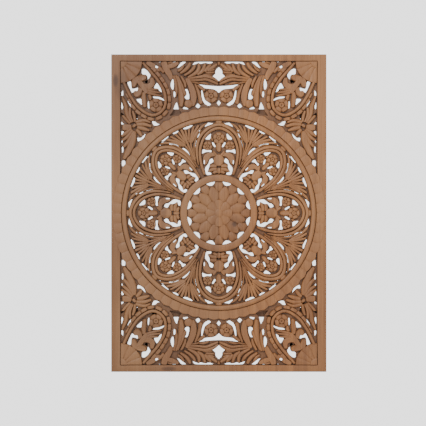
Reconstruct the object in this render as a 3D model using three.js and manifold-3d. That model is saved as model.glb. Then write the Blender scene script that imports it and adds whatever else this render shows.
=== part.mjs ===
// A carved and pierced wall panel: rails frame a great ring of scallops with a rosette, eight
// medallions and leaf sprays inside it, and teardrops and acanthus leaves in the four spandrels.
// The panel is one carved board. Two plain battens cross its back, and the upper one hangs it.
// Millimetres, +Z up, the front faces -Y. The origin is the centre of the upper batten's back face.

import * as THREE from 'three';
import { LoftGeometry } from 'three/addons/geometries/LoftGeometry.js';
import { mergeVertices } from 'three/addons/utils/BufferGeometryUtils.js';
import Module from 'manifold-3d';

const wasm = await Module();
wasm.setup();

// The board, the ground that the carving rises from, and its rails.
const PANEL_WIDTH = 610;
const PANEL_HEIGHT = 900;
const GROUND = 11;
const SIDE_RAIL = 25.5;
const END_RAIL = 19;
const RAIL_RISE = 17;

// The battens behind it.
const BATTEN_WIDTH = 586;
const BATTEN_HEIGHT = 26;
const BATTEN_DEPTH = 12;
const BATTEN_Z = 283;
const BATTEN_GAP = 0.3;

// The rings, as radii from the panel's centre.
const SMALL_RING = { inner: 90, outer: 109.5, sides: 24 };
const GREAT_RING = { inner: 262, outer: 277, sides: 40 };
const SCALLOP = { count: 64, notch: 299.5, crown: 305, notchRise: 17, crownRise: 21 };

// How far the crests of the carving stand in front of the board's back, and how deep their feet
// are sunk in the ground.
const LOW = 15;
const MIDDLE = 17;
const HIGH = 19;
const TOP = 21;
const FOOT = 0.3;

// The medallions: half widths of the bead and of the band around it, and the side flowers' radius.
const WIDE = { turn: 0, bead: 53.5, band: 64, petals: 14 };
const NARROW = { turn: 45, bead: 42, band: 52.5, petals: 11.5 };
// The sprays stand a little nearer to the narrow medallions than halfway.
const SPRAY_TURN = 24.2;

// Points closer than this are one.
const MERGE_DISTANCE = 1e-3;

// ---- joining, cutting and placing ----

// A closed shape becomes a solid. Its faces are turned to point out, because a mirrored copy and a
// turned profile come inside out.
function solid(geometry) {
  const bare = new THREE.BufferGeometry();
  bare.setAttribute('position', geometry.attributes.position);
  bare.setIndex(geometry.index);
  const { index, attributes } = mergeVertices(bare, MERGE_DISTANCE);
  const at = (i) => new THREE.Vector3().fromBufferAttribute(attributes.position, i);
  const triangles = [];
  let volume = 0;
  for (let i = 0; i < index.count; i += 3) {
    const [a, b, c] = [index.getX(i), index.getX(i + 1), index.getX(i + 2)];
    if (a === b || b === c || c === a) continue;
    triangles.push([a, b, c]);
    volume += at(a).dot(at(b).cross(at(c)));
  }
  if (volume < 0) triangles.forEach((triangle) => triangle.reverse());
  return new wasm.Manifold(new wasm.Mesh({
    numProp: 3,
    vertProperties: Float32Array.from(attributes.position.array),
    triVerts: Uint32Array.from(triangles.flat()),
  }));
}

function joined(geometries) {
  return geometries.map(solid).reduce((whole, piece) => whole.add(piece));
}

function geometryOf(manifold) {
  const { vertProperties, triVerts } = manifold.getMesh();
  const geometry = new THREE.BufferGeometry();
  geometry.setAttribute('position', new THREE.BufferAttribute(vertProperties, 3));
  geometry.setIndex(new THREE.BufferAttribute(triVerts, 1));
  return geometry;
}

function copyOf(geometry) {
  return new THREE.BufferGeometry().copy(geometry);
}

function mirrored(geometry, x, z) {
  return copyOf(geometry).scale(x, 1, z);
}

function bothSides(geometries) {
  return geometries.flatMap((geometry) => [geometry, mirrored(geometry, -1, 1)]);
}

// A turn is clockwise from straight up, seen from the front.
function turned(geometry, degrees) {
  return copyOf(geometry).rotateY(THREE.MathUtils.degToRad(degrees));
}

// An ornament is its raised carving and its pierced openings. Copies of both are placed together.
function placed({ raised, pierced }, places) {
  const carving = geometryOf(joined(raised));
  const holes = geometryOf(joined(pierced));
  return {
    raised: places.map((place) => place(carving)),
    pierced: places.map((place) => place(holes)),
  };
}

// ---- carved forms ----

// A carved ridge. Each point of its path is x, z and the ridge's width there, and an end without a
// width is a point. The curve runs through them all, cut into `cuts` pieces between two points.
function ridge(path, crest, cuts = 1) {
  const curve = new THREE.CatmullRomCurve3(
    path.map(([x, z, width = 0]) => new THREE.Vector3(x, width, z)), false, 'catmullrom');
  const steps = (path.length - 1) * cuts;
  const foot = GROUND - FOOT;
  const sections = [];
  for (let i = 0; i <= steps; i += 1) {
    const { x, y: width, z } = curve.getPoint(i / steps);
    const along = curve.getTangent(i / steps).setY(0).normalize();
    const point = (across, rise) => new THREE.Vector3(
      x + along.z * across * width / 2, -rise, z - along.x * across * width / 2);
    sections.push([point(-1, foot), point(0, foot + (crest - foot) * Math.min(1, width / 8)), point(1, foot)]);
  }
  return new LoftGeometry(sections, { capStart: path[0].length > 2, capEnd: path.at(-1).length > 2 });
}

// A leaf is a ridge with two points, widest at its bend.
function leaf(base, bend, tip, width, crest = MIDDLE) {
  return ridge([base, [...bend, width], tip], crest);
}

// An arch is a ridge and its mirror image in one.
function arch(half, crest, cuts = 1) {
  const other = half.slice(0, -1).map(([x, z, width]) => [-x, z, width]);
  return ridge([...half, ...other.reverse()], crest, cuts);
}

// A turned form: a profile of [radius, rise] points spun about a centre.
function turning(profile, sides, x = 0, z = 0) {
  const points = profile.map(([radius, rise]) => new THREE.Vector2(radius, -rise));
  return new THREE.LatheGeometry(points, sides).translate(x, 0, z);
}

function ring({ inner, outer, sides }) {
  const foot = GROUND - FOOT;
  return turning([[inner, foot], [(inner + outer) / 2, TOP], [outer, foot], [inner, foot]], sides);
}

function boss(radius, rise, x = 0, z = 0, sides = 8) {
  const foot = GROUND - FOOT;
  return turning([[0, foot], [radius, foot], [radius * 0.5, rise], [0, rise]], sides, x, z);
}

// A flower: petals that rise from the rim and dip towards the eye.
function flower(x, z, radius, sides = 5) {
  const foot = GROUND - FOOT;
  return turning([[0, foot], [radius, foot], [radius * 0.6, HIGH], [0, LOW]], sides, x, z);
}

// A flat shape on the panel's face, made solid between two rises.
function extruded(shape, from, to) {
  return new THREE.ExtrudeGeometry(shape, { depth: to - from, bevelEnabled: false })
    .rotateX(Math.PI / 2)
    .translate(0, -from, 0);
}

// An opening goes right through the board.
function opening(...outline) {
  const [first, ...rest] = outline;
  const shape = new THREE.Shape().moveTo(...first);
  rest.forEach((point) => shape.lineTo(...point));
  return extruded(shape.closePath(), -1, TOP + 1);
}

function rectangle(Path, halfWidth, halfHeight) {
  return new Path().moveTo(-halfWidth, -halfHeight).lineTo(halfWidth, -halfHeight)
    .lineTo(halfWidth, halfHeight).lineTo(-halfWidth, halfHeight).closePath();
}

// ---- board, rails and rings ----

function board() {
  return extruded(rectangle(THREE.Shape, PANEL_WIDTH / 2, PANEL_HEIGHT / 2), 0, GROUND);
}

function rails() {
  const outline = rectangle(THREE.Shape, PANEL_WIDTH / 2, PANEL_HEIGHT / 2);
  outline.holes.push(rectangle(THREE.Path, PANEL_WIDTH / 2 - SIDE_RAIL, PANEL_HEIGHT / 2 - END_RAIL));
  return extruded(outline, 0, RAIL_RISE);
}

// The scallops outside the great ring: the band's edge steps between notches and crowns.
function scallops() {
  const { count, notch, crown, notchRise, crownRise } = SCALLOP;
  const foot = GROUND - FOOT;
  const sections = [];
  for (let i = 0; i <= count * 2; i += 1) {
    const angle = Math.PI * (i % (count * 2)) / count;
    const [edge, rise] = i % 2 === 1 ? [crown, crownRise] : [notch, notchRise];
    const point = (radius, height) => new THREE.Vector3(
      radius * Math.sin(angle), -height, radius * Math.cos(angle));
    sections.push([point(GREAT_RING.outer + 0.3, foot), point(edge, rise), point(edge, foot)]);
  }
  return new LoftGeometry(sections);
}

// ---- rosette: round petals over pointed ones around a boss ----

function rosette() {
  const times = (count, offset, shape) => Array.from(
    { length: count }, (_, k) => turned(shape, (k + offset) * 360 / count));
  return {
    raised: [
      ...times(12, 0.5, leaf([0, 38], [0, 58], [0, 79], 28)),
      ...times(8, 0, leaf([0, 12], [0, 30], [0, 43], 27, HIGH)),
      boss(14, TOP),
    ],
    pierced: times(12, 0.5, opening([-14, 91], [0, 78], [14, 91])),
  };
}

// ---- medallions: drawn upright, x across and z outwards from the panel's centre ----

function medallion({ bead, band, petals }) {
  const across = bead / WIDE.bead;
  const at = (x, z) => [x * across, z];
  return {
    raised: [
      arch([[bead * 0.74, 110, 9], [bead, 160, 10], [bead * 0.8, 218, 10], [0, 240.5, 10]], TOP),
      arch([[band, 164, 3], [band * 0.77, 228, 9], [0, 253.5, 13]], HIGH),
      ...bothSides([
        ridge([at(12, 166), [...at(33, 160), 15], at(39, 134)], MIDDLE),
        flower(29 * across, 193, petals),
      ]),
      leaf([0, 200], [0, 186], [0, 166], 17),
      leaf([0, 164], [0, 148], [0, 120], 26 * across, HIGH),
      flower(0, 216, petals + 3),
    ],
    pierced: bothSides([
      opening(at(20, 229), at(39, 210), at(25, 208)),
      opening(at(47, 184), at(47, 168), at(20, 174)),
      opening(at(17, 152), at(29, 137), at(22, 109), at(35, 108), at(39, 129)),
    ]),
  };
}

// ---- leaf sprays: drawn upright, with the wide medallion on the left ----

function spray() {
  return {
    raised: [
      ...bothSides([
        leaf([6, 202], [17, 234], [25, 257], 11),
        ridge([[13, 206], [44, 247, 15], [73, 246]], MIDDLE),
      ]),
      leaf([0, 166], [0, 225], [0, 261], 13, HIGH),
    ],
    pierced: [
      opening([-9, 184], [-26, 216], [-18, 200]),
      opening([7, 182], [19, 211], [14, 196]),
    ],
  };
}

// ---- the right upper spandrel, which the other three mirror ----

const CORNER = { x: PANEL_WIDTH / 2 - SIDE_RAIL, z: PANEL_HEIGHT / 2 - END_RAIL };

// A quarter flower fills the corner: four broad petals round a quarter boss.
function cornerFan() {
  const petal = ridge([[0, -18], [0, -50, 18], [0, -65, 15]], HIGH);
  const petals = [0.5, 1.5, 2.5, 3.5].map((k) => turned(petal, 90 - 22.5 * k));
  return {
    raised: [...petals, boss(22, HIGH)].map((form) => form.translate(CORNER.x, 0, CORNER.z)),
    pierced: [],
  };
}

// The teardrop: a bead with a scalloped band outside it, and leaves and a flower inside.
function teardrop() {
  const bead = [[213, 424], [162, 360], [150, 318], [161, 287], [188, 277], [228, 300], [270, 370]];
  const band = [[165, 392], [138, 350], [137, 290], [178, 263], [217, 277]];
  return {
    raised: [
      ridge(bead.map(([x, z]) => [x, z, 10]), TOP),
      ridge(band.map(([x, z]) => [x, z, 16]), MIDDLE),
      flower(178, 306, 20),
      ridge([[231, 386], [218, 362, 16], [206, 334]], MIDDLE),
      leaf([232, 382], [217, 383], [204, 387], 18, HIGH),
      leaf([236, 386], [240, 371], [243, 354], 18, HIGH),
      ridge([[213, 357], [190, 360, 15], [191, 385]], MIDDLE),
      leaf([220, 350], [231, 339], [245, 336], 20),
      leaf([212, 344], [211, 320], [206, 296], 15),
      leaf([203, 339], [183, 340], [161, 334], 17),
    ],
    pierced: [
      opening([218, 411], [193, 391], [201, 381], [204, 393]),
      opening([176, 371], [184, 355], [162, 345]),
      opening([249, 376], [260, 374], [246, 341], [230, 352]),
      opening([152, 318], [168, 325], [189, 329], [168, 331]),
    ],
  };
}

// The acanthus crown beside the middle of the top rail: lobes that curl up and inwards.
function crown() {
  return {
    raised: [
      leaf([44, 400], [24, 412], [4, 426], 14),
      leaf([60, 393], [45, 405], [38, 424], 14),
      leaf([84, 386], [62, 402], [57, 425], 15, HIGH),
      leaf([102, 392], [79, 406], [72, 422], 12, HIGH),
      leaf([116, 399], [98, 409], [83, 428], 15, HIGH),
      leaf([90, 383], [42, 386], [4, 374], 9, HIGH),
      leaf([88, 376], [42, 373], [2, 366], 13),
    ],
    pierced: [
      opening([12, 433], [24, 425], [73, 420], [68, 433]),
      opening([90, 433], [119, 411], [107, 433]),
    ],
  };
}

// Under the crown: a flower, a scroll that rolls up at its foot, and long drooping leaves.
function pendants() {
  return {
    raised: [
      flower(22, 332, 20),
      ridge([[90, 380], [72, 340, 16], [74, 304, 8]], HIGH),
      boss(11.5, TOP, 87, 311, 6),
      leaf([66, 364], [57, 338], [49, 306], 12),
      leaf([112, 388], [102, 362], [97, 332], 12),
      leaf([124, 392], [109, 340], [107, 297], 17, HIGH),
      leaf([130, 392], [120, 360], [120, 324], 9, LOW),
      ridge([[154, 429, 16], [146, 404, 18], [136, 378]], HIGH),
      leaf([146, 413], [130, 419], [113, 425], 11),
      leaf([166, 402], [186, 418], [208, 428], 15, LOW),
    ],
    pierced: [
      opening([50, 350], [42, 330], [22, 309], [42, 315]),
      opening([96, 353], [97, 330], [84, 323]),
      opening([131, 383], [137, 364], [127, 330]),
      opening([120, 317], [141, 275], [106, 284]),
    ],
  };
}

// The side acanthus: a palmette between the teardrop, the great ring and the side rail.
function sideLeaves() {
  return {
    raised: [
      leaf([236, 254], [214, 257], [192, 254], 13),
      leaf([234, 244], [214, 242], [196, 237], 12),
      leaf([236, 238], [226, 227], [218, 216], 12),
      leaf([238, 256], [241, 276], [243, 294], 10),
      leaf([243, 256], [253, 278], [253, 303], 11),
      leaf([247, 255], [265, 292], [277, 330], 13, HIGH),
      leaf([245, 246], [264, 243], [278, 243], 16, HIGH),
      leaf([245, 240], [262, 227], [278, 215], 12),
      leaf([244, 234], [261, 208], [276, 190], 14),
      ridge([[238, 234], [245, 200, 18], [271, 152]], HIGH),
    ],
    pierced: [
      opening([272, 333], [273, 351], [282, 342]),
      opening([227, 283], [236, 284], [231, 265]),
      opening([266, 142], [282, 150], [282, 133]),
      opening([207, 228], [232, 215], [230, 204]),
      opening([166, 253], [190, 262], [184, 249]),
    ],
  };
}

// The openings on the panel's middle line, above and below the great ring.
function middleOpenings() {
  return {
    raised: [leaf([0, 436], [0, 424], [0, 414], 10)],
    pierced: [
      opening([0, 416], [11, 399], [20, 387], [0, 373], [-20, 387], [-11, 399]),
      opening([0, 341], [14, 352], [58, 366], [0, 361], [-58, 366], [-14, 352]),
      opening([0, 321], [6, 313], [0, 306], [-6, 313]),
    ],
  };
}

// ---- the whole ----

function together(ornaments) {
  return {
    raised: ornaments.flatMap(({ raised }) => raised),
    pierced: ornaments.flatMap(({ pierced }) => pierced),
  };
}

function carvedPanel() {
  const quarters = [0, 90, 180, 270];
  const at = (degrees) => (geometry) => turned(geometry, degrees);
  const flipped = (x, z) => (geometry) => mirrored(geometry, x, z);
  const spandrel = together([cornerFan(), teardrop(), crown(), pendants(), sideLeaves()]);
  const { raised, pierced } = together([
    rosette(),
    ...[WIDE, NARROW].map((one) => placed(medallion(one), quarters.map((turn) => at(one.turn + turn)))),
    placed(spray(), quarters.map((turn) => at(turn + SPRAY_TURN))),
    placed(spray(), quarters.map((turn) => (shape) => turned(mirrored(shape, -1, 1), turn - SPRAY_TURN))),
    placed(spandrel, [flipped(1, 1), flipped(-1, 1), flipped(1, -1), flipped(-1, -1)]),
    placed(middleOpenings(), [flipped(1, 1), flipped(1, -1)]),
  ]);
  const inside = solid(extruded(
    rectangle(THREE.Shape, PANEL_WIDTH / 2 - SIDE_RAIL, PANEL_HEIGHT / 2 - END_RAIL), 0, TOP + 1));
  const pierceWork = solid(board()).add(joined(raised).intersect(inside)).subtract(joined(pierced));
  const frame = joined([rails(), ring(GREAT_RING), scallops(), ring(SMALL_RING)]);
  return geometryOf(pierceWork.add(frame));
}

function wood(color) {
  return new THREE.MeshStandardMaterial({ color, roughness: 0.6, metalness: 0 });
}

function named(name, geometry, material, y, z) {
  const mesh = new THREE.Mesh(geometry, material);
  mesh.name = name;
  mesh.position.set(0, y, z);
  return mesh;
}

const battenGeometry = new THREE.BoxGeometry(BATTEN_WIDTH, BATTEN_DEPTH, BATTEN_HEIGHT);
const battenWood = wood(0x6b4a30);
const object = new THREE.Group();
object.add(named('carved_panel', carvedPanel(), wood(0xb0845c), -BATTEN_DEPTH - BATTEN_GAP, -BATTEN_Z));
object.add(named('upper_batten', battenGeometry, battenWood, -BATTEN_DEPTH / 2, 0));
object.add(named('lower_batten', battenGeometry, battenWood, -BATTEN_DEPTH / 2, -BATTEN_Z * 2));

export default object;
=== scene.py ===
# %% [markdown]
# # A carved and pierced wall panel
# The real panel is a flat blank of joined planks. Its carver saws the openings right through,
# lowers the ground, and rounds every leaf, bead and petal with gouges, so that dark grooves part
# them. Here each form is a closed mesh of its own, the forms of an ornament are joined and sawn, and
# the ornaments, a pierced ground, the rails and the rings become one board. Displacing one flat
# sheet would be quicker, but it can't give steep grooves and the sawn walls of the openings.

# %% Load the frame
import math

import bpy
import numpy as np
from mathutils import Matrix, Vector


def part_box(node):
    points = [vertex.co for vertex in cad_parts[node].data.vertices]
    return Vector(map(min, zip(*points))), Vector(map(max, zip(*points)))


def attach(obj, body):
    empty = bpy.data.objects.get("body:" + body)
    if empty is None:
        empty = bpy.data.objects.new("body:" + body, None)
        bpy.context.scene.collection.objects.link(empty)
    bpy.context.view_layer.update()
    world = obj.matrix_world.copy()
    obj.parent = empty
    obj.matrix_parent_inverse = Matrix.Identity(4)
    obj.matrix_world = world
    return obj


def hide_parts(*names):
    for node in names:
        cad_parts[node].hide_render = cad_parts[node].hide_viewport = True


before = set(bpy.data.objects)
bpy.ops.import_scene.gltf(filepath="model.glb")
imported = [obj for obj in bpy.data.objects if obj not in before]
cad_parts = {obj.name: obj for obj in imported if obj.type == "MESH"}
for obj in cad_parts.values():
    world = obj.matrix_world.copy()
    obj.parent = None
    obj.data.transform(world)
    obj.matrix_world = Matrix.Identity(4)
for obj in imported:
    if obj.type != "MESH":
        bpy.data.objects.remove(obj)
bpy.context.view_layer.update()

low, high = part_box("carved_panel")
MM = 0.001
MIDDLE_X = (low.x + high.x) / 2
MIDDLE_Z = (low.z + high.z) / 2
BACK = high.y
WIDTH = (high.x - low.x) / MM
HEIGHT = (high.z - low.z) / MM
print("panel", round(WIDTH), "x", round(HEIGHT), "mm, back face at y", round(BACK / MM, 1), "mm")

# %% [markdown]
# ## Sizes
# Everything is drawn in millimetres from the panel's centre, x to the right and z up. The third
# number is the rise, the distance in front of the board's back. The carving's crests lie nearly in
# one plane, as they all come from one blank, and the grooves are cut down from it. A cutting solid
# reaches from SAW_BACK, behind the board, to SAW_FRONT or BOX_FRONT, well before it.

# %% Name the sizes
GROUND = 11
FOOT = 6
LOW, MIDDLE, HIGH, TOP = 15.5, 17.5, 19, 20.8
SIDE_RAIL, END_RAIL, RAIL_RISE, RAIL_EDGE = 25.5, 19, 18.5, 1.4
CREVICE, INSET = 1.6, 1
SAW_BACK, SAW_FRONT, BOX_FRONT = -5, 30, 40
SMALL_RING = (90, 109.5)
GREAT_RING = (262, 276)
SCALLOPS, NOTCH, CROWN = 64, 299.5, 305
WIDE = {"turn": 0, "across": 1.0, "side_flowers": (32, 190), "top_flower": 213}
NARROW = {"turn": 45, "across": 0.79, "side_flowers": (24.5, 192), "top_flower": 215}
SPRAY_TURN = 24.2


def place(x, rise, z):
    """Panel millimetres to metres in the shared frame."""
    return np.stack([MIDDLE_X + x * MM, BACK - rise * MM, MIDDLE_Z + z * MM], axis=-1)


print("the ground lies at a rise of", GROUND, "mm, and the crests at", LOW, "to", TOP, "mm")

# %% [markdown]
# ## A strip to carve with
# Every leaf, bead and petal starts from one kind of strip: a grid, extruded once into a slab. It is
# modelled a few times with more or fewer cuts, and each carved form is a copy that is bent along
# its own line. Bending by code keeps the width and the crest under control along the whole curve,
# which a curve object with a bevel can't do, because it makes a wide form tall as well.

# %% Model the strips
slabs = {}


def start_clean():
    """Leave edit mode, with nothing selected."""
    if bpy.context.object and bpy.context.object.mode != "OBJECT":
        bpy.ops.object.mode_set(mode="OBJECT")
    bpy.ops.object.select_all(action="DESELECT")


def slab(steps, across):
    """A slab 2 wide, 2 long and 1 thick, with its top at 0 and that many steps along and across."""
    if (steps, across) not in slabs:
        start_clean()
        bpy.ops.mesh.primitive_grid_add(x_subdivisions=steps, y_subdivisions=across, size=2)
        bpy.ops.object.mode_set(mode="EDIT")
        bpy.ops.mesh.select_all(action="SELECT")
        bpy.ops.mesh.extrude_region_move(TRANSFORM_OT_translate={"value": (0, 0, -1)})
        bpy.ops.mesh.select_all(action="SELECT")
        bpy.ops.mesh.normals_make_consistent(inside=False)
        bpy.ops.object.mode_set(mode="OBJECT")
        slabs[steps, across] = bpy.context.object.data.copy()
        bpy.data.objects.remove(bpy.context.object)
    return slabs[steps, across]


def corners(mesh):
    co = np.empty(len(mesh.vertices) * 3)
    mesh.vertices.foreach_get("co", co)
    return co.reshape(-1, 3)


def reshaped(mesh, co):
    mesh.vertices.foreach_set("co", np.ascontiguousarray(co, dtype=float).ravel())
    mesh.update()
    return mesh


print("a strip of 12 x 8 cuts has", len(slab(12, 8).vertices), "corners")

# %% [markdown]
# ## How a gouge leaves the top
# A form's section runs from one edge, at -1, to the other, at 1. A bead is round, a broad petal is
# nearly flat with soft shoulders, a scooped leaf is hollow between its edges, and a veined leaf has
# a groove down its middle.

# %% Define the sections
def round_top(t):
    return np.sqrt(np.clip(1 - t * t, 0, 1))


def flat_top(t):
    return (1 - np.abs(t) ** 5) * (0.93 + 0.07 * np.cos(t * np.pi))


def scooped_top(t):
    return (1 - np.abs(t) ** 7) * (0.66 + 0.34 * np.minimum(1, np.abs(t) / 0.7) ** 2)


def veined_top(t):
    return flat_top(t) * (1 - 0.3 * np.exp(-((t / 0.13) ** 2)))


def soft_top(t):
    return np.clip(1 - np.abs(t) ** 2.8, 0, 1) ** 0.7


print("a scooped leaf is", round(1 - float(scooped_top(0.0)), 2), "of its depth lower in its middle")

# %% [markdown]
# ## A form along a line
# A carver draws a leaf as one sweep, so a form here is a few points with a width at each. A smooth
# line goes through them, and a strip is bent along it. The steps are closest at both ends, where the
# outline turns fastest. All forms but beads are a little fuller than drawn, so that neighbours meet,
# and a narrow form stands lower than a wide one.

# %% Bend a strip along a line
FULLER, THINNEST, STEEPEST = 1.14, 0.35, 0.62


def line_through(points, count=200):
    """A smooth line through [x, z, width] points, and the length up to each of its places."""
    p = np.array(points, float)
    p = np.vstack([2 * p[0] - p[1], p, 2 * p[-1] - p[-2]])
    u = np.linspace(0, len(points) - 1, count)
    i = np.minimum(u.astype(int), len(points) - 2)
    f = (u - i)[:, None]
    a, b, c, d = p[i], p[i + 1], p[i + 2], p[i + 3]
    line = 0.5 * (2 * b + (c - a) * f + (2 * a - 5 * b + 4 * c - d) * f**2
                  + (3 * b - a - 3 * c + d) * f**3)
    length = np.concatenate([[0], np.cumsum(np.hypot(*np.diff(line[:, :2], axis=0).T))])
    return line, length


def carved(points, crest=HIGH, top=soft_top, ends=(1, 1), depth=4.2, bow=0.0, pitch=4.8):
    """A closed form along a line of [x, z, width] points, with round ends unless an end is 0."""
    line, length = line_through(points)
    total = length[-1]
    steps = int(np.clip(round(total / pitch / 2) * 2, 4, 40))
    across = 4 if line[:, 2].max() < 9 else 6 if line[:, 2].max() < 18 else 8
    mesh = slab(steps, across).copy()
    co = corners(mesh)
    s, t, on_top = (co[:, 0] + 1) / 2, np.sin(co[:, 1] * np.pi / 2), co[:, 2] > -0.5
    s = 0.45 * s + 0.55 * (0.5 - 0.5 * np.cos(np.pi * s))
    d = s * total
    x, z, width = (np.interp(d, length, line[:, k]) for k in range(3))
    ax, az = (np.interp(d, length, np.gradient(line[:, k], length)) for k in range(2))
    size = np.hypot(ax, az)
    ax, az = ax / size, az / size
    ease = np.ones_like(d)
    for from_end, end_width, wanted in ((d, line[0, 2], ends[0]), (total - d, line[-1, 2], ends[1])):
        radius = max(end_width / 2 * wanted, 1e-6)
        ease *= np.sqrt(np.clip(1 - (1 - np.minimum(from_end / radius, 1)) ** 2, 0, 1))
    fuller = 1.0 if top is round_top else FULLER
    width = np.maximum(np.maximum(width * fuller, 0.5) * ease, THINNEST)
    cut = np.minimum(depth, STEEPEST * width)
    summit = FOOT + (crest - FOOT) * np.clip(0.62 + 0.38 * width / 7, 0, 1)
    rise = np.where(on_top, summit - cut * (1 - top(t)), FOOT)
    shift = -bow * s * t * t
    x, z = x - az * t * width / 2 + ax * shift, z + ax * t * width / 2 + az * shift
    return reshaped(mesh, np.stack([x, rise, z], axis=-1))


print("a straight line of 30 mm measures", round(line_through([[0, 0, 8], [0, 30, 8]])[1][-1], 1), "mm")

# %% [markdown]
# ## Turned and sawn forms
# The bosses, the flowers' eyes and the rings are round, so their profile is drawn once and spun. The
# openings are outlines that are extruded through the board. Their corners are eased, as a fret
# saw's blade leaves them.

# %% Spin a profile
def turned(profile, sides=24):
    """A profile of (radius, rise) points spun about the y axis of the panel's own millimetres."""
    start_clean()
    bpy.ops.mesh.primitive_circle_add(vertices=len(profile), radius=1)
    thing = bpy.context.object
    co = np.array([(radius, rise, 0) for radius, rise in profile], float)
    reshaped(thing.data, co)
    bpy.ops.object.mode_set(mode="EDIT")
    bpy.ops.mesh.select_all(action="SELECT")
    bpy.ops.mesh.spin(steps=sides, angle=2 * math.pi, center=(0, 0, 0), axis=(0, 1, 0))
    bpy.ops.mesh.select_all(action="SELECT")
    bpy.ops.mesh.remove_doubles(threshold=1e-3)
    bpy.ops.mesh.normals_make_consistent(inside=False)
    bpy.ops.object.mode_set(mode="OBJECT")
    mesh = thing.data.copy()
    bpy.data.objects.remove(thing)
    return mesh


def eased(points, share=0.2):
    """An outline with each corner cut twice."""
    p = np.array(points, float)
    for _ in range(2):
        after = np.roll(p, -1, axis=0)
        p = np.stack([p + (after - p) * share, after + (p - after) * share], axis=1).reshape(-1, 2)
    return p


def opening(*points, share=0.2):
    """A saw cut: an outline of (x, z) points, drawn out from behind the board to well before it."""
    start_clean()
    p = eased(points, share)
    bpy.ops.mesh.primitive_circle_add(vertices=len(p), radius=1, fill_type="NGON")
    thing = bpy.context.object
    reshaped(thing.data, np.stack([p[:, 0], np.full(len(p), SAW_BACK), p[:, 1]], axis=-1))
    bpy.ops.object.mode_set(mode="EDIT")
    bpy.ops.mesh.select_all(action="SELECT")
    bpy.ops.mesh.extrude_region_move(TRANSFORM_OT_translate={"value": (0, SAW_FRONT - SAW_BACK, 0)})
    bpy.ops.mesh.select_all(action="SELECT")
    bpy.ops.mesh.normals_make_consistent(inside=False)
    bpy.ops.object.mode_set(mode="OBJECT")
    mesh = thing.data.copy()
    bpy.data.objects.remove(thing)
    return mesh


# %% [markdown]
# ## Joining and cutting
# A solid keeps its millimetres until the whole board is done. Many forms are joined in one go with
# a Boolean modifier on a collection, and each join is applied at once. An ornament is joined and
# sawn once and then copied to its places, and a mirrored copy has its faces turned round again.

# %% Join, cut and copy
def thing_of(mesh, name="form"):
    thing = bpy.data.objects.new(name, mesh)
    bpy.context.scene.collection.objects.link(thing)
    return thing


def boolean(mesh, others, operation):
    """The mesh joined with, cut by or kept inside the others. It takes the result itself too."""
    if not others:
        return mesh
    start_clean()
    body = thing_of(mesh)
    group = bpy.data.collections.new("tools")
    bpy.context.scene.collection.children.link(group)
    tools = [bpy.data.objects.new("tool", other) for other in others]
    for tool in tools:
        group.objects.link(tool)
    bpy.context.view_layer.objects.active = body
    body.select_set(True)
    modifier = body.modifiers.new("join", "BOOLEAN")
    modifier.operation = operation
    modifier.operand_type = "COLLECTION"
    modifier.collection = group
    modifier.solver = "MANIFOLD"
    bpy.ops.object.modifier_apply(modifier=modifier.name)
    made = body.data.copy()
    for tool in tools:
        bpy.data.objects.remove(tool)
    bpy.data.objects.remove(body)
    bpy.data.collections.remove(group)
    return made


def joined(meshes):
    return boolean(meshes[0], meshes[1:], "UNION")


def moved(mesh, turn=0.0, mirror=(1, 1), to=(0, 0), scale=1.0):
    """A copy: scaled and mirrored, then turned clockwise about the panel's centre, then shifted."""
    made = mesh.copy()
    co = corners(made)
    x, z = co[:, 0] * scale * mirror[0], co[:, 2] * scale * mirror[1]
    a = math.radians(turn)
    turned_x, turned_z = x * math.cos(a) + z * math.sin(a), z * math.cos(a) - x * math.sin(a)
    reshaped(made, np.stack([turned_x + to[0], co[:, 1], turned_z + to[1]], axis=-1))
    if mirror[0] * mirror[1] < 0:
        made.flip_normals()
    return made


def both(meshes):
    """The meshes and their mirror images across the middle line."""
    return meshes + [moved(mesh, mirror=(-1, 1)) for mesh in meshes]


def sawn(forms, holes):
    """An ornament: its forms joined and cut by its openings, and the openings for the ground."""
    body = joined(forms)
    if holes:
        body = boolean(body, [joined(holes)], "DIFFERENCE")
    return body, holes


def tell(name, ornament):
    body, holes = ornament
    print("the", name, "has", len(body.polygons), "faces and", len(holes), "openings")


# %% [markdown]
# ## Flowers
# One flower serves the whole panel: five broad petals round a drilled eye. The petals overlap a
# little, so a groove runs where two meet.

# %% Carve the flower
def eye(radius, rise):
    """A rounded rim about a drilled hole."""
    return turned([(0, FOOT), (radius, FOOT), (radius, rise - 2.2), (radius * 0.86, rise - 0.6),
                   (radius * 0.66, rise), (radius * 0.44, rise - 0.7), (radius * 0.22, rise - 1.4),
                   (radius * 0.18, rise - 5), (0, rise - 5)], 20)


def flower_form():
    petal = carved([[0, 5, 9], [0, 12, 18], [0, 20, 19]], HIGH - 0.4, flat_top, depth=4.2, ends=(0, 0.75))
    petals = [moved(petal, turn=turn) for turn in range(0, 360, 72)]
    return joined(petals + [turned([(0, FOOT), (9.2, FOOT), (9.2, 15), (0, 15)], 20), eye(7.4, TOP)])


FLOWER = flower_form()


def flower(x, z, radius, turn=0.0):
    return moved(moved(FLOWER, turn=turn, scale=radius / 20), to=(x, z))


print("the flower has", len(FLOWER.polygons), "faces")

# %% [markdown]
# ## The rosette
# Three rounds of petals lie behind each other: eight round ones on twelve pointed ones, on twelve
# that reach the small ring. Each kind is carved once and turned round the centre.

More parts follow.
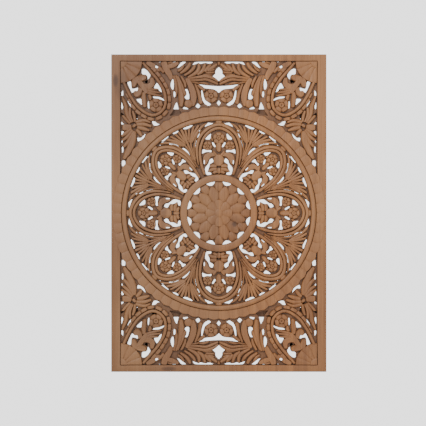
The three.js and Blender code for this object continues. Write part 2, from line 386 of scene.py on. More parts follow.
# %% Carve the rosette
def rosette():
    back = carved([[0, 60, 20], [0, 78, 22], [0, 92, 22]], LOW, veined_top, ends=(0, 0), depth=3)
    pointed = carved([[0, 32, 16], [0, 54, 28], [0, 69, 20], [0, 79, 3]], MIDDLE + 0.4, soft_top,
                     ends=(0, 1), depth=4.6)
    broad = carved([[0, 8, 12], [0, 26, 25], [0, 41, 26]], HIGH + 0.6, soft_top, ends=(0, 0.9), depth=4.4)
    boss = turned([(0, FOOT), (13.5, FOOT), (13.5, 17.8), (12.6, 19.2), (10, 20.2), (5, 20.8),
                   (0, 20.9)], 32)
    petals = [moved(back, turn=30 * k) for k in range(12)]
    petals += [moved(pointed, turn=15 + 30 * k) for k in range(12)]
    petals += [moved(broad, turn=45 * k) for k in range(8)]
    gap = opening([-14.5, 91.5], [-9, 84], [0, 79.5], [9, 84], [14.5, 91.5])
    return sawn(petals + [boss], [moved(gap, turn=15 + 30 * k) for k in range(12)])


ROSETTE = rosette()
tell("rosette", ROSETTE)

# %% [markdown]
# ## The medallions
# Eight arched medallions stand between the small ring and the great one, four wide and four
# narrow. Each has a bead, a fluted band outside it, three flowers and a leaf that opens downwards.
# The drawing is upright, and the narrow kind is the same drawing pressed together.

# %% Carve a medallion
def medallion(kind):
    k = kind["across"]

    def line(points):
        return [[x * k, z, w * (1 if w < 9 else (k + 1) / 2)] for x, z, w in points]

    def arch(points):
        return [[x * k, z, w] for x, z, w in points] + [[-x * k, z, w] for x, z, w in points[-2::-1]]

    def hole(*points):
        return opening(*[(x * k, z) for x, z in points])

    bead = [[39, 106, 8], [50, 140, 8.5], [53.5, 178, 8.5], [42, 214, 8.5], [22, 234, 8.5], [0, 241, 8.5]]
    band = [[57, 135, 4], [61.5, 163, 7.5], [61.5, 190, 8.5], [52, 218, 9], [30, 240, 9.5], [0, 251, 10]]
    rim = [[63, 130, 3], [69, 165, 5], [69.5, 192, 5], [61, 222, 4.5], [48, 236, 3]]
    half = [
        carved(line([[8, 164, 6], [24, 166, 13], [36, 156, 17], [40, 136, 8]]), MIDDLE, scooped_top),
        carved(line([[3, 160, 5], [10, 167, 8], [18, 178, 5]]), MIDDLE + 0.5),
        carved(line([[4, 133, 9], [16, 134, 11], [28, 131, 5]]), MIDDLE - 0.6),
        carved(line([[3, 125, 9], [18, 124, 11], [32, 117, 5]]), MIDDLE - 0.6),
        carved(line([[2, 119, 9], [12, 116, 11], [17, 110, 6]]), MIDDLE - 0.8),
        carved(line([[4, 206, 7], [10, 203, 8], [15, 197, 5]]), MIDDLE),
        carved(line([[15, 204, 6], [20, 210, 6], [22, 220, 5]]), LOW + 1),
        carved(line([[26, 176, 5], [34, 174, 6], [44, 176, 5]]), LOW + 0.5),
        flower(kind["side_flowers"][0], kind["side_flowers"][1], 14.5 * (k + 1) / 2, 36),
    ]
    forms = both(half) + [
        carved(arch(bead), TOP, round_top),
        carved(arch(band), HIGH),
        carved([[0, 203, 12 * k], [0, 190, 15 * k], [0, 172, 10 * k]], MIDDLE + 0.6, veined_top),
        carved([[0, 168, 16 * k], [0, 150, 27 * k], [0, 132, 15 * k]], HIGH, veined_top, depth=4),
        carved([[0, 130, 13 * k], [0, 110, 12 * k]], MIDDLE, veined_top),
        carved([[-11, 256, 8], [0, 258.5, 10], [11, 256, 8]], HIGH - 0.5),
        flower(0, kind["top_flower"], 17.5 * (k + 1) / 2),
    ]
    forms += both([carved([[x * k, z, w] for x, z, w in rim], MIDDLE)])
    holes = both([
        hole((21, 229), (38, 213), (37, 209), (24, 209)),
        hole((17, 203), (20, 199), (12, 186), (8, 190)),
        hole((46, 183), (48, 168), (39, 173), (30, 174), (20, 173), (22, 180), (34, 178)),
        hole((19, 157), (14, 146), (27, 139), (26, 131), (28, 125), (33, 117), (22, 115), (21, 109),
             (36, 108), (40, 128), (33, 136), (28, 143), (27, 151)),
        hole((40, 151), (43, 150), (42, 138), (39.5, 140)),
    ])
    holes += both([opening((13, 255), (32, 258), (40 * k + 2, 244), (28, 250))])
    return sawn(forms, holes)


MEDALLIONS = [(kind["turn"], medallion(kind)) for kind in (WIDE, NARROW)]
for turn, ornament in MEDALLIONS:
    tell(f"medallion turned by {turn} degrees", ornament)


# %% [markdown]
# ## The leaf sprays
# Between two medallions a stem rises and opens into a fan of fine flutes against the great ring.

# %% Carve a spray
def spray():
    one_side = [
        carved([[3, 222, 5], [7, 240, 7], [11, 260, 6]], HIGH),
        carved([[4, 216, 5], [14, 238, 7], [23, 258, 6]], HIGH - 0.4),
        carved([[6, 212, 5], [22, 236, 7], [38, 256, 5]], HIGH - 0.2),
        carved([[9, 212, 5], [28, 235, 8], [52, 252, 6]], HIGH - 0.5),
        carved([[11, 213, 5], [32, 230, 8], [56, 243, 7], [76, 247, 3]], MIDDLE + 0.6),
        carved([[17, 215, 4], [34, 225, 5], [54, 235, 4]], MIDDLE - 0.6),
        carved([[3, 165, 5], [4, 190, 5.5], [8, 212, 5.5], [18, 228, 4]], MIDDLE + 0.8),
        carved([[8.5, 163, 5], [12, 180, 6], [19, 200, 6], [29, 215, 4]], MIDDLE),
        carved([[14, 168, 4], [18, 182, 5], [27, 200, 5], [37, 213, 3]], LOW + 1),
    ]
    forms = both(one_side) + [carved([[0, 160, 5], [0, 200, 6], [0, 235, 8], [0, 262, 8]], HIGH + 0.4)]
    holes = [
        opening((-8, 183), (-10.5, 200), (-18, 211), (-27, 217), (-27, 209), (-16, 199)),
        opening((7, 182), (8.5, 198), (14, 209), (20, 212), (15, 199), (10, 183)),
        opening((-31, 220), (-36, 229), (-49, 240), (-44, 229), (-36, 221)),
        opening((24, 219), (32, 229), (50, 240), (47, 234), (34, 222)),
        opening((-36, 257), (-30, 261.5), (-6, 262.5), (-7, 257), (-18, 254)),
        opening((9, 257), (10, 262.5), (28, 261), (24, 256)),
        opening((40, 256), (43, 260), (66, 254), (60, 250)),
    ]
    return sawn(forms, holes)


SPRAY = spray()
tell("spray", SPRAY)

# %% [markdown]
# ## The spandrels
# The four corners hold a quarter flower, a teardrop with a scalloped band, an acanthus crown with
# hanging leaves, and a palmette at the side. One corner is drawn, and the others mirror it. The
# band's scallops are worked out along the teardrop's bead, so they stay square to it.

# %% Carve the corner flower and the teardrop
CORNER = (WIDTH / 2 - SIDE_RAIL, HEIGHT / 2 - END_RAIL)


def corner_flower():
    petal = carved([[0, -18, 8], [0, -44, 21], [0, -64, 25]], HIGH, flat_top, ends=(0, 0.35), depth=4)
    boss = turned([(0, FOOT), (22, FOOT), (22, 17.5), (20.5, 19.4), (16, 20.4), (0, 20.8)], 40)
    petals = [moved(petal, turn=turn) for turn in (12.5, 35, 57.5, 79)]
    return sawn([moved(form, to=CORNER) for form in petals + [boss]], [])


BAND = {"scallops": 15, "start": 38, "spacing": 17.6, "width": 17.5, "narrows": 240, "narrowing": 0.14}
TEARDROP_MIDDLE = (195, 340)


def band_of(bead):
    """Scallops that stand outwards from a bead, and shorter and shorter towards its end."""
    line, length = line_through([[x, z, 0] for x, z, w in bead])
    tangent = np.gradient(line[:, :2], length, axis=0)
    scallops = []
    for k in range(BAND["scallops"]):
        at = BAND["start"] + k * BAND["spacing"]
        px, pz = (np.interp(at, length, line[:, axis]) for axis in range(2))
        tx, tz = (np.interp(at, length, tangent[:, axis]) for axis in range(2))
        size = math.hypot(tx, tz)
        nx, nz = tz / size, -tx / size
        out_x, out_z = px + nx * 10 - TEARDROP_MIDDLE[0], pz + nz * 10 - TEARDROP_MIDDLE[1]
        if out_x * nx + out_z * nz < 0:
            nx, nz = -nx, -nz
        far = BAND["width"] - max(0, at - BAND["narrows"]) * BAND["narrowing"]
        scallops.append(carved([[px + nx * 4, pz + nz * 4, 17.5], [px + nx * far, pz + nz * far, 18.5]],
                               MIDDLE + 0.6, veined_top, ends=(0, 0.5), depth=4))
    return scallops


def teardrop():
    bead = [[217, 428, 7], [196, 404, 9], [171, 374, 9], [153, 338, 9], [155, 298, 9], [186, 277, 9],
            [225, 297, 9], [252, 334, 9], [271, 374, 8]]
    forms = [
        carved(bead, TOP, round_top),
        flower(178, 306, 21.5),
        carved([[236, 388, 10], [222, 368, 14], [211, 352, 13], [203, 338, 8]], HIGH, scooped_top),
        carved([[236, 382, 12], [219, 383, 18], [204, 388, 10]], HIGH - 0.4, scooped_top),
        carved([[236, 388, 12], [239, 373, 18], [244, 356, 11]], HIGH - 0.4, scooped_top),
        carved([[222, 363, 13], [204, 358, 15], [189, 366, 15], [190, 386, 8]], MIDDLE + 0.8, scooped_top),
        carved([[220, 357, 13], [230, 341, 22], [242, 333, 12]], MIDDLE + 0.6, scooped_top),
        carved([[212, 345, 10], [213, 322, 14], [209, 298, 10]], HIGH - 0.4, veined_top),
        carved([[210, 344, 7], [186, 337, 8], [160, 332, 4]], MIDDLE),
        carved([[208, 349, 7], [186, 344, 8], [163, 341, 4]], MIDDLE + 0.5),
        carved([[206, 352, 6], [188, 351, 7], [170, 350, 5]], MIDDLE),
        carved([[201, 338, 6], [194, 328, 11], [196, 317, 5]], MIDDLE - 0.5),
    ]
    holes = [
        opening((219, 411), (211, 411), (202, 404), (193, 391), (200, 380), (212, 373), (207, 368),
                (201, 369), (203, 393), (219, 394)),
        opening((176, 372), (180, 366), (186, 355), (171, 353), (169, 347), (161, 342), (166, 356)),
        opening((249, 375), (259, 376), (261, 372), (247, 341), (243, 343), (238, 347), (230, 346),
                (229, 358), (240, 354), (248, 353)),
        opening((152, 318), (168, 324), (184, 326), (190, 332), (170, 331), (159, 326)),
        opening((199, 321), (202.5, 315), (201.5, 299), (196.5, 296)),
        opening((220, 326), (237, 324), (217, 305), (219, 316)),
    ]
    return sawn(band_of(bead) + forms, holes)


CORNER_FLOWER, TEARDROP = corner_flower(), teardrop()
tell("corner flower", CORNER_FLOWER)
tell("teardrop", TEARDROP)

# %% [markdown]
# ## The crown and the hanging leaves
# Acanthus leaves curl away from the middle line at the top and hang down beside it. Each lobe is a
# stroke of its own, hollowed as by one sweep of a gouge, and its end runs out in a point or rolls up
# in a volute. Bending one modelled leaf to each place would be quicker, but no two lobes are alike.

# %% Carve the crown and the hanging leaves
def crown():
    forms = [
        carved([[34, 402, 8], [20, 412, 11], [3, 424, 5]], MIDDLE + 0.5),
        carved([[42, 399, 8], [32, 411, 11], [20, 424, 5]], HIGH - 0.5),
        carved([[62, 391, 6], [46, 404, 11], [38, 425, 6]], HIGH),
        carved([[90, 383, 6], [64, 398, 11], [56, 412, 10], [57, 426, 5]], HIGH),
        carved([[100, 389, 6], [82, 400, 9], [70, 413, 9], [67, 424, 4]], HIGH - 0.3),
        carved([[111, 395, 6], [95, 406, 10], [85, 417, 10], [81, 429, 6]], HIGH),
        carved([[118, 401, 5], [106, 409, 8], [98, 423, 6]], HIGH - 0.5),
        carved([[36, 403, 5], [22, 405, 7], [11, 408, 4]], MIDDLE - 0.3),
        carved([[40, 398, 5], [25, 398, 7], [10, 400, 4]], MIDDLE - 0.3),
        carved([[48, 393, 5], [30, 391, 7], [16, 391, 4]], MIDDLE - 0.3),
        carved([[88, 381, 5], [62, 385, 8], [38, 388, 9], [16, 382, 8], [0, 371, 5]], HIGH - 0.2),
        carved([[86, 377, 5], [60, 377, 7], [36, 379, 8], [16, 372, 8], [0, 365, 5]], MIDDLE + 0.6),
        carved([[60, 369, 3], [42, 369, 7], [26, 364, 4]], MIDDLE - 0.4),
        carved([[84, 373, 5], [66, 370, 6], [52, 366, 4]], MIDDLE - 0.4),
        flower(22, 332, 20.5),
        carved([[92, 384, 10], [76, 352, 16], [71, 326, 16], [76, 302, 10]], HIGH, scooped_top),
        volute_at(86, 310, 12),
        carved([[68, 368, 6], [57, 340, 10], [50, 308, 12]], MIDDLE + 0.8, veined_top),
        carved([[63, 364, 5], [51, 356, 10], [38, 345, 9]], MIDDLE - 0.2),
        carved([[108, 390, 6], [97, 370, 9], [94, 354, 5]], HIGH - 0.4),
        carved([[118, 390, 6], [106, 365, 9], [98, 341, 9], [93, 332, 5]], MIDDLE + 0.6),
        carved([[122, 392, 7], [112, 365, 10], [106, 330, 16], [107, 300, 10]], HIGH, veined_top),
        carved([[127, 392, 7], [121, 365, 8], [120, 345, 8], [122, 328, 4]], MIDDLE + 0.3),
        carved([[132, 392, 6], [128, 380, 6], [124, 365, 4]], MIDDLE - 0.4),
        carved([[150, 413, 10], [130, 419, 13], [112, 427, 6]], HIGH - 0.4, scooped_top),
        carved([[148, 424, 5], [132, 428, 6], [118, 430, 4]], MIDDLE),
        carved([[157, 432, 15], [151, 412, 17], [139, 392, 14], [134, 376, 8]], HIGH, scooped_top),
        carved([[154, 396, 7], [165, 409, 10], [178, 419, 5]], MIDDLE + 0.5),
        carved([[165, 402, 6], [186, 417, 15], [207, 429, 10]], MIDDLE, scooped_top),
    ]
    holes = [
        opening((12, 430.5), (22, 425), (30, 424.5), (36, 427), (44, 426), (52, 423), (57, 427),
                (62, 425), (70, 421), (75, 421), (71, 428), (66, 430.5)),
        opening((91, 430.5), (103, 421), (112, 414), (120, 411), (114, 420), (107, 430.5)),
        opening((120, 430.5), (122, 428), (134, 428), (133, 430.5)),
        opening((50, 350), (47, 349), (44, 335), (40, 322), (30, 315), (21, 309), (29, 304), (40, 310),
                (46, 320), (49, 333)),
        opening((60, 313), (67, 303), (58, 297), (52, 305)),
        opening((90, 353), (97, 353), (92, 345), (91, 337), (98, 330), (93, 323), (84, 323), (84, 335),
                (87, 346)),
        opening((86, 294), (89, 299), (99, 303), (103, 296)),
        opening((131, 383), (136.5, 371), (137, 360), (132, 350), (128.5, 352), (127.5, 365), (128.5, 376)),
        opening((128, 347), (124, 345), (122.5, 332), (127, 328), (129, 338)),
        opening((120, 317), (126, 305), (131, 288), (142, 275), (122, 279), (104, 284), (115, 296),
                (116.5, 306)),
        opening((171, 416), (180, 421), (181, 413), (174, 410)),
        opening((164, 430), (166, 428), (172, 428.5), (171, 430.5)),
    ]
    return sawn(forms, holes)


def volute_at(x, z, radius):
    volute = turned([(0, FOOT), (radius, FOOT), (radius, 16.8), (radius * 0.9, 18.6), (radius * 0.6, 19.6),
                     (0, 20)], 24)
    return moved(volute, to=(x, z))


ACANTHUS = crown()
tell("crown", ACANTHUS)

# %% [markdown]
# ## The side leaves and the middle
# A palmette fills the space between the great ring and the side rail, and its leaves spread from one
# point. On the middle line there are only a bud and three openings, which are drawn on one side and
# mirrored, so both sides are sure to match.

# %% Carve the side leaves and the middle
def side_leaves():
    forms = [
        carved([[238, 257, 9], [212, 263, 10], [192, 256, 5]], MIDDLE + 0.6),
        carved([[236, 251, 10], [212, 252, 11], [189, 245, 6]], HIGH - 0.4),
        carved([[234, 244, 10], [214, 240, 12], [194, 233, 5]], MIDDLE + 0.6),
        carved([[236, 239, 10], [225, 228, 11], [217, 215, 5]], MIDDLE),
        carved([[237, 256, 7], [240, 275, 9], [245, 292, 6]], MIDDLE),
        carved([[243, 256, 7], [252, 276, 9], [252, 301, 7]], MIDDLE + 0.6),
        carved([[247, 255, 8], [260, 279, 11], [264, 305, 11], [275, 332, 5]], HIGH - 0.4, veined_top),
        carved([[250, 252, 8], [264, 267, 9], [278, 282, 5]], MIDDLE),
        carved([[245, 247, 8], [262, 243, 17], [276, 243, 13]], HIGH - 0.2, scooped_top),
        carved([[245, 241, 8], [262, 228, 11], [278, 216, 6]], MIDDLE + 0.6),
        carved([[243, 238, 8], [258, 218, 11], [277, 203, 6]], MIDDLE),
        carved([[240, 234, 8], [257, 202, 12], [274, 184, 5]], MIDDLE + 0.6),
        carved([[238, 234, 9], [244, 205, 17], [256, 176, 17], [270, 152, 8]], HIGH - 0.3, veined_top),
        carved([[243, 252, 16], [236, 244, 18]], HIGH, flat_top),
    ]
    holes = [
        opening((240, 297), (248, 308), (257, 322), (260, 318), (251, 303), (243, 294)),
        opening((272, 351), (277, 344), (277, 333), (271, 333)),
        opening((277, 319), (277.5, 300), (275, 293), (271, 300)),
        opening((267, 278), (277.5, 287), (277.5, 276)),
        opening((227, 283), (236, 284), (235, 270), (231, 265)),
        opening((277.5, 261), (269, 252), (277.5, 252)),
        opening((269, 232), (277, 234), (277, 222), (274, 222)),
        opening((271, 206), (277, 206), (276, 198)),
        opening((271, 189), (276, 189), (275, 169), (271, 175)),
        opening((265, 133), (266, 150), (276, 150), (276, 133)),
        opening((207, 228), (212, 214), (221, 207), (230, 203), (233, 215), (222, 213), (213, 222)),
        opening((166, 253), (178, 248), (185, 249), (191, 262), (182, 261), (174, 254)),
    ]
    return sawn(forms, holes)


def even_opening(*half):
    """An opening that is the same on both sides of the middle line, with crisper corners."""
    return opening(*half, *[(-x, z) for x, z in half[-2:0:-1]], share=0.12)


def middle():
    bud = carved([[0, 431, 10], [0, 418, 5]], MIDDLE)
    holes = [
        even_opening((0, 416), (8, 408), (10.5, 400), (9, 397), (20, 387), (0, 372)),
        even_opening((0, 341), (7, 348), (15, 352), (32, 353.5), (42, 355), (59, 367), (40, 364), (20, 362),
                     (0, 361)),
        even_opening((0, 321), (6, 313), (0, 305)),
    ]
    return sawn([bud], holes)


PALMETTE, BUD = side_leaves(), middle()
tell("palmette", PALMETTE)
tell("bud", BUD)

# %% [markdown]
# ## Rails and rings
# The rails are left flat, and their edges are softened. The great ring is a bead with sixty-four
# scallops round it, which run over the side rails to the panel's edges. A bead is its profile spun
# once, and a scallop is one carved strip that is turned to all its places.

# %% Model the rails and rings
def box(x0, x1, rise0, rise1, z0, z1):
    """A box between two places on each of x, rise and z."""
    start_clean()
    bpy.ops.mesh.primitive_cube_add(size=1)
    thing = bpy.context.object
    co = corners(thing.data) + 0.5
    reshaped(thing.data, np.stack([x0 + co[:, 0] * (x1 - x0), rise0 + (1 - co[:, 1]) * (rise1 - rise0),
                                   z0 + co[:, 2] * (z1 - z0)], axis=-1))
    mesh = thing.data.copy()
    mesh.flip_normals()
    bpy.data.objects.remove(thing)
    return mesh


def rails():
    blank = box(-WIDTH / 2, WIDTH / 2, 0, RAIL_RISE, -HEIGHT / 2, HEIGHT / 2)
    window = box(-CORNER[0], CORNER[0], SAW_BACK, BOX_FRONT, -CORNER[1], CORNER[1])
    frame_shape = boolean(blank, [window], "DIFFERENCE")
    start_clean()
    thing = thing_of(frame_shape, "rails")
    bpy.context.view_layer.objects.active = thing
    thing.select_set(True)
    modifier = thing.modifiers.new("soften", "BEVEL")
    modifier.width = RAIL_EDGE
    modifier.segments = 3
    modifier.limit_method = "ANGLE"
    bpy.ops.object.modifier_apply(modifier=modifier.name)
    mesh = thing.data.copy()
    bpy.data.objects.remove(thing)
    return mesh


def ring_of(inner, outer, crest, edge, sides):
    """A bead that arches from edge up to crest and back, over straight walls."""
    middle_radius, half_width = (inner + outer) / 2, (outer - inner) / 2
    top = [(middle_radius + half_width * math.cos(a), edge + (crest - edge) * math.sin(a))
           for a in np.linspace(0, math.pi, 9)]
    return turned([(inner, 0.0), (outer, 0.0)] + top, sides)


def rings():
    scallop = carved([[0, 274, 26.6], [0, 290, 28.6], [0, CROWN, 30.2]], HIGH + 0.6, flat_top,
                     ends=(0, 0), depth=3.2, bow=CROWN - NOTCH)
    step = 360 / SCALLOPS
    root, face = 270, GROUND + 3
    under = turned([(root, 0.0), (NOTCH, 0.0), (NOTCH, face), (root, face)], 128)
    scallops = [moved(scallop, turn=step * k + step / 2) for k in range(SCALLOPS)]
    great = ring_of(*GREAT_RING, TOP, 16.5, 160)
    small = ring_of(*SMALL_RING, 20, 17.5, 96)
    return [joined(scallops + [under, great]), small]


print("the great ring has", SCALLOPS, "scallops of", round(2 * math.pi * CROWN / SCALLOPS, 1), "mm")

# %% [markdown]
# ## The whole board
# Each ornament has its openings already, so it is only copied to its places. What would stand over
# the rails is cut off a little inside them, which leaves the dark line round the carving. The ground
# is cut by all the openings at once and joined behind, with the rails and rings. Cutting the whole
# joined board would give the same, but it takes many minutes. The ground starts as a slab of many
# small faces, because one large face with hundreds of openings in it breaks when it is cut.

# %% Put the ornaments in their places
QUARTERS = (0, 90, 180, 270)
MIRRORS = ((1, 1), (-1, 1), (1, -1), (-1, -1))
raised, pierced = [], []


def put(ornament, places):
    body, holes = ornament
    for where in places:
        raised.append(moved(body, **where))
        pierced.extend(moved(hole, **where) for hole in holes)


put(ROSETTE, [{}])
for turn, ornament in MEDALLIONS:
    put(ornament, [{"turn": turn + quarter} for quarter in QUARTERS])
put(SPRAY, [{"turn": quarter + SPRAY_TURN} for quarter in QUARTERS])
put(SPRAY, [{"turn": quarter - SPRAY_TURN, "mirror": (-1, 1)} for quarter in QUARTERS])
for ornament in (CORNER_FLOWER, TEARDROP, ACANTHUS, PALMETTE):
    put(ornament, [{"mirror": mirror} for mirror in MIRRORS])
put(BUD, [{}, {"mirror": (1, -1)}])
print(len(raised), "ornaments raised and", len(pierced), "openings pierced")

# %% Join the board
GROUND_STEPS = (60, 88)
edge_x, edge_z = CORNER[0] - CREVICE, CORNER[1] - CREVICE
inside = box(-edge_x, edge_x, INSET, BOX_FRONT, -edge_z, edge_z)
carving = boolean(joined(raised), [inside], "INTERSECT")
ground = slab(*GROUND_STEPS).copy()
co = corners(ground)
reshaped(ground, np.stack([co[:, 0] * (WIDTH / 2 - INSET), GROUND * (1 + co[:, 2]),
                           co[:, 1] * (HEIGHT / 2 - INSET)], axis=-1))
ground.flip_normals()
ground = boolean(ground, [joined(pierced)], "DIFFERENCE")
print("the pierced ground has", len(ground.polygons), "faces")
board = boolean(carving, [ground, rails(), *rings()], "UNION")
print("the joined board has", len(board.polygons), "faces")

# %% [markdown]
# ## Thinning the mesh
# The joins leave far more triangles than the forms need. Decimate takes out those that change the
# surface least, mostly on flat ground, and the sharp edges stay sharp, because only angles under
# 38 degrees are shaded smooth. The finished board then stands for the plain one of the frame.

# %% Place the board in the frame
MOST_TRIANGLES = 190000
SMOOTH_UNDER = math.radians(38)
co = corners(board)
reshaped(board, place(co[:, 0], co[:, 1], co[:, 2]))
panel = thing_of(board, "carved_board")
start_clean()
bpy.context.view_layer.objects.active = panel
panel.select_set(True)
bpy.ops.object.mode_set(mode="EDIT")
bpy.ops.mesh.select_all(action="SELECT")
bpy.ops.mesh.quads_convert_to_tris()
bpy.ops.object.mode_set(mode="OBJECT")
thin = panel.modifiers.new("thin_out", "DECIMATE")
thin.ratio = min(1, MOST_TRIANGLES / len(panel.data.polygons))
bpy.ops.object.modifier_apply(modifier=thin.name)
bpy.ops.object.shade_smooth_by_angle(angle=SMOOTH_UNDER)
print("the carved board has", len(panel.data.polygons), "triangles")
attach(panel, "root")
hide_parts("carved_panel")

# %% [markdown]
# ## Wood
# The board is one kind of wood, and its colour steps across it: greyer and darker on the left,
# more orange on the right. The grain runs upwards, so its noise is pressed together across the
# planks and drawn out along them. A flat image of wood would smear down the carving's steep walls,
# while a pattern through the whole block doesn't. Knots are ellipses whose edges the grain disturbs.
# Painted shade, with some old wax, darkens the grooves, which ambient occlusion finds, and painted
# shade darkens what lies deep too.

# %% Write shader maths as Python
class Wire:
    """A socket of a material. Arithmetic on it adds Math nodes."""

    def __init__(self, tree, socket=None):
        self.tree = tree
        self.socket = socket

    def new(self, kind, settings=None, inputs=None, output=0):
        node = self.tree.nodes.new(kind)
        for name, value in (settings or {}).items():
            if name == "stops":
                elements = node.color_ramp.elements
                while len(elements) < len(value):
                    elements.new(0.5)
                for element, (position, colour) in zip(elements, value):
                    element.position = position
                    element.color = (*colour, 1)
            elif name == "interpolation":
                node.color_ramp.interpolation = value
            else:
                setattr(node, name, value)
        for name, value in (inputs or {}).items():
            if isinstance(value, Wire):
                self.tree.links.new(value.socket, node.inputs[name])
            else:
                node.inputs[name].default_value = value
        return Wire(self.tree, node.outputs[output] if len(node.outputs) else None)

    def maths(self, operation, a, b=0.0):
        return self.new("ShaderNodeMath", {"operation": operation}, {0: a, 1: b})

    def __add__(self, other):
        return self.maths("ADD", self, other)

    def __radd__(self, other):
        return self.maths("ADD", other, self)

    def __sub__(self, other):
        return self.maths("SUBTRACT", self, other)

    def __rsub__(self, other):
        return self.maths("SUBTRACT", other, self)

    def __mul__(self, other):
        return self.maths("MULTIPLY", self, other)

    def __rmul__(self, other):
        return self.maths("MULTIPLY", other, self)

    def __truediv__(self, other):
        return self.maths("DIVIDE", self, other)

    def clamped(self, start, end, low_value=0.0, high_value=1.0):
        return self.new("ShaderNodeMapRange", {"interpolation_type": "SMOOTHSTEP"},
                        {"Value": self, "From Min": start, "From Max": end, "To Min": low_value,
                         "To Max": high_value})

    def blend(self, a, b):
        """Colour a where this is 0 and b where it is 1."""
        a, b = ((*c, 1) if isinstance(c, tuple) else c for c in (a, b))
        return self.new("ShaderNodeMix", {"data_type": "RGBA"},
                        {0: self, 6: a, 7: b}, output=2)


def linear(red, green, blue):
    """A colour as it is seen on a screen, 0 to 255, made linear."""
    return tuple(((c / 255 + 0.055) / 1.055) ** 2.4 for c in (red, green, blue))


print("screen grey 188 is", round(linear(188, 188, 188)[0], 2), "in linear light")

# %% Make the wood
# Colours from left to right across the board, stepping from greyer and darker to more orange.
TONE_STEPS = [(0.0, linear(112, 76, 46)), (0.225, linear(117, 78, 46)), (0.5, linear(133, 87, 48)),
          (0.61, linear(147, 95, 50)), (0.762, linear(143, 92, 49)), (0.86, linear(141, 92, 50))]
DARK_BAND, DARK_FIBRE, PALE_WOOD = linear(100, 60, 29), linear(86, 50, 24), linear(178, 128, 80)
# The last two colours here are painted shade: one for the grooves, with some old wax, and one for what lies
# deep.
KNOT_WOOD, WAX_AND_GROOVE_SHADE, DEEP_SHADE = linear(58, 34, 18), linear(64, 36, 15), linear(56, 31, 13)
# Knots and dark streaks: x and z from the panel's centre, half width, half height, and strength.
KNOTS = [(44, -31, 9, 10, 0.75), (44, -31, 24, 30, 0.3), (-292, 375, 9, 22, 0.7),
         (-276, 362, 24, 50, 0.35), (-142, -441, 26, 8, 0.6), (-158, 40, 13, 120, 0.4),
         (-215, -330, 55, 60, 0.25), (190, 420, 16, 22, 0.3)]
GROOVE_REACH = 7 * MM


def wood(name):
    material = bpy.data.materials.new(name)
    material.use_nodes = True
    tree = material.node_tree
    tree.nodes.clear()
    start = Wire(tree)
    where = start.new("ShaderNodeTexCoord", output="Object")
    x, y, z = (start.new("ShaderNodeSeparateXYZ", inputs={0: where}, output=axis) for axis in range(3))
    stretched = start.new("ShaderNodeMapping", inputs={"Vector": where, "Scale": (90, 90, 3.2)})
    drift = start.new("ShaderNodeTexNoise", inputs={"Vector": where, "Scale": 3.0, "Detail": 2.0})
    fibres = start.new("ShaderNodeTexNoise", inputs={"Vector": stretched, "Scale": 4.2, "Detail": 4.0,
                                                    "Roughness": 0.62})
    bands = start.new("ShaderNodeTexNoise", inputs={"Vector": stretched, "Scale": 0.62, "Detail": 3.0,
                                                   "Distortion": 0.6})
    across = (x - MIDDLE_X) / (WIDTH * MM) + 0.5
    colour = start.new("ShaderNodeValToRGB", {"interpolation": "CONSTANT", "stops": TONE_STEPS}, {0: across})
    colour = (bands.clamped(0.32, 0.72) * 0.6).blend(colour, DARK_BAND)
    colour = (fibres.clamped(0.42, 0.7) * 0.35).blend(colour, DARK_FIBRE)
    colour = (drift.clamped(0.35, 0.7) * 0.25).blend(colour, PALE_WOOD)
    for knot_x, knot_z, wide, tall, strength in KNOTS:
        away_x = (x - (MIDDLE_X + knot_x * MM)) / (wide * MM)
        away_z = (z - (MIDDLE_Z + knot_z * MM)) / (tall * MM)
        away = (away_x * away_x + away_z * away_z) + (bands - 0.5) * 1.2
        colour = ((1 - away.clamped(0.1, 1.0)) * strength).blend(colour, KNOT_WOOD)
    # Painted shade: ambient occlusion finds the grooves, and their colour is drawn towards a dark brown
    # that stands for shade and some old wax.
    closed = start.new("ShaderNodeAmbientOcclusion", {"samples": 8, "only_local": True},
                       {"Distance": GROOVE_REACH}, output="AO")
    rise = (BACK - y) / MM
    groove_shade = (1 - closed.clamped(0.35, 0.98)) * 0.75
    # Painted shade by depth: whatever lies less than 16 mm in front of the back is darkened, and fully so
    # under 9 mm.
    depth_shade = (1 - rise.clamped(9, 16)) * 0.6
    colour = groove_shade.blend(colour, WAX_AND_GROOVE_SHADE)
    colour = depth_shade.blend(colour, DEEP_SHADE)
    bump = start.new("ShaderNodeBump", inputs={"Strength": 0.25, "Distance": 0.0006, "Height": fibres})
    shader = start.new("ShaderNodeBsdfPrincipled", inputs={
        "Base Color": colour, "Roughness": fibres.clamped(0.2, 0.8, 0.5, 0.68), "Normal": bump})
    start.new("ShaderNodeOutputMaterial", inputs={0: shader})
    print("the wood", name, "has", len(tree.nodes), "nodes")
    return material


panel.data.materials.clear()
panel.data.materials.append(wood("carved_wood"))
# The battens lie behind the board, so the painted depth shade and the painted groove shade make them dark.
dark = wood("batten_wood")
for batten in ("upper_batten", "lower_batten"):
    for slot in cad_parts[batten].material_slots:
        slot.material = dark


# %% [markdown]
# ## Light, floor and camera
# A relief shows by its shadows. A soft lamp stands high on the left, so each groove has a dark side,
# and a weaker one on the right keeps the shadows open. An even white world lights the rest. It is
# set brighter where it is seen directly, so that the openings look white and the wood isn't washed
# out. The camera looks straight at the panel from afar, so that its rails stay parallel.

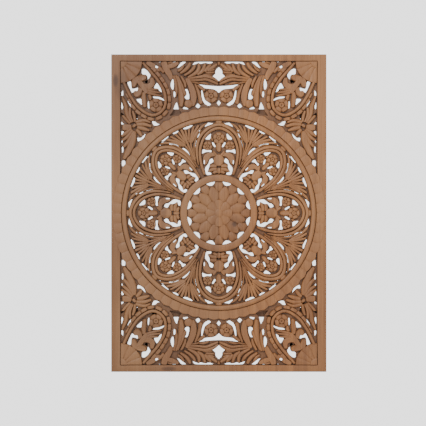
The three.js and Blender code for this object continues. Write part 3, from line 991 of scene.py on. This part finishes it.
# %% Set the lamps
def area(name, where, size, power, aim):
    start_clean()
    bpy.ops.object.light_add(type="AREA", location=where)
    lamp = bpy.context.object
    lamp.name = name
    lamp.data.size = size
    lamp.data.energy = power
    lamp.rotation_euler = Vector(np.subtract(aim, where)).to_track_quat("-Z", "Y").to_euler()
    print(name, "gives", power, "watts")


centre = (MIDDLE_X, BACK, MIDDLE_Z)
area("key_light", (-1.1, -2.4, MIDDLE_Z + 1.5), 1.2, 60, centre)
area("fill_light", (1.6, -2.6, MIDDLE_Z + 0.4), 2.0, 22, centre)

# %% Lay the floor
FLOOR_GAP = 0.4
start_clean()
bpy.ops.mesh.primitive_plane_add(size=1)
floor = bpy.context.object
floor.name = "floor"
floor.scale = (6, 4.5, 1)
floor.location = (0, -1.3, low.z - FLOOR_GAP)
bpy.ops.object.transform_apply(location=True, rotation=False, scale=True)
paint = bpy.data.materials.new("floor_paint")
paint.use_nodes = True
paint.node_tree.nodes["Principled BSDF"].inputs["Base Color"].default_value = (0.8, 0.8, 0.8, 1)
floor.data.materials.append(paint)
print("the floor lies", FLOOR_GAP, "m under the panel")

# %% Light the world and set the camera
WORLD_LIGHT, WORLD_SEEN = 0.95, 2.3
world = bpy.data.worlds.new("studio")
world.use_nodes = True
sky = world.node_tree.nodes["Background"]
sky.inputs["Color"].default_value = (1, 1, 1, 1)
seen = world.node_tree.nodes.new("ShaderNodeLightPath")
strength = world.node_tree.nodes.new("ShaderNodeMapRange")
strength.inputs["To Min"].default_value = WORLD_LIGHT
strength.inputs["To Max"].default_value = WORLD_SEEN
world.node_tree.links.new(seen.outputs["Is Camera Ray"], strength.inputs["Value"])
world.node_tree.links.new(strength.outputs[0], sky.inputs["Strength"])
bpy.context.scene.world = world

DISTANCE, SHOWN, SENSOR = 3.5, 1.213, 36
ASIDE, ABOVE = -0.0165, 0.0003
bpy.ops.object.camera_add(location=(MIDDLE_X + ASIDE, BACK - DISTANCE, MIDDLE_Z + ABOVE),
                          rotation=(math.pi / 2, 0, 0))
camera = bpy.context.object
camera.data.sensor_width = SENSOR
camera.data.lens = SENSOR * DISTANCE / SHOWN
bpy.context.scene.camera = camera
print("the camera's lens is", round(camera.data.lens, 1), "mm")
